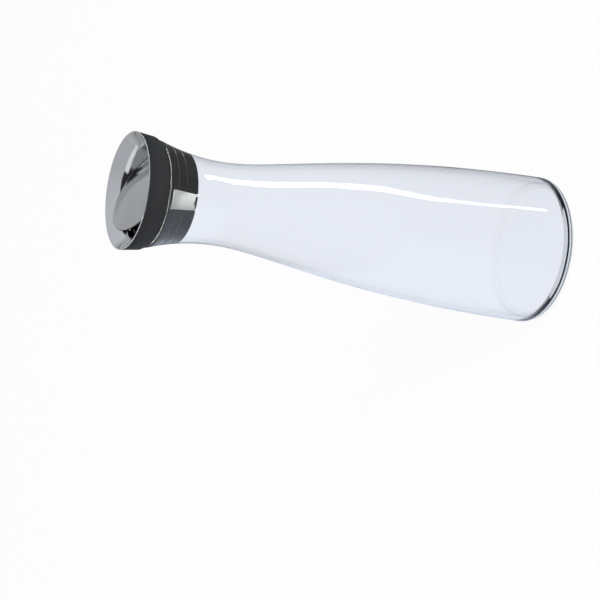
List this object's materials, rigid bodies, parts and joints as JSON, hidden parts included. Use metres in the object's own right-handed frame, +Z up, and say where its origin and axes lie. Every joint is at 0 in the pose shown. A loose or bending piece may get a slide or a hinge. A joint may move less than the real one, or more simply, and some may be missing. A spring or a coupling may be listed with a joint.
{
  "type": "carafe with self-opening pour lid",
  "caption": "Clear glass water carafe with a waisted neck and a plug-in lid whose polished steel flap tilts open as it pours and shuts by a pendulum weight when it stands.",
  "frame": {"origin": "centre of the base, on the plane that the carafe stands on", "axes": "+Z up the carafe's axis to the lid, -X towards the side it pours from, Y along the flap's pivot axis"},
  "size_m": [0.0974, 0.0974, 0.2998],
  "materials": {
    "clear_glass": "clear, fire-polished",
    "polished_steel": "polished stainless steel",
    "plain_steel": "plain stainless steel",
    "collar_black": "matt",
    "black_silicone": "satin",
    "black_plastic": "fine matt"
  },
  "bodies": {
    "bottle": {"glass_bottle": "clear_glass"},
    "lid": {"steel_funnel": "polished_steel", "collar_ring": "collar_black", "lid_core": "black_plastic", "dish_seal": "black_silicone", "pivot_bushes": "black_plastic", "sealing_sleeve": "black_silicone", "pour_strainer": "plain_steel"},
    "flap": {"flap_disc": "polished_steel", "flap_seal": "black_silicone", "flap_carrier": "black_plastic", "pivot_pins": "plain_steel", "counterweight": "plain_steel", "clamp_screw": "plain_steel"}
  },
  "joints": [
    {"name": "lid_lift", "type": "slide", "parent": "bottle", "child": "lid", "axis": [0, 0, 1], "range_m": [0, 0.045]},
    {"name": "flap_tilt", "type": "hinge", "parent": "lid", "child": "flap", "pos_m": [0, 0, 0.2864], "axis": [0, 1, 0], "range_deg": [-24, 0]}
  ]
}
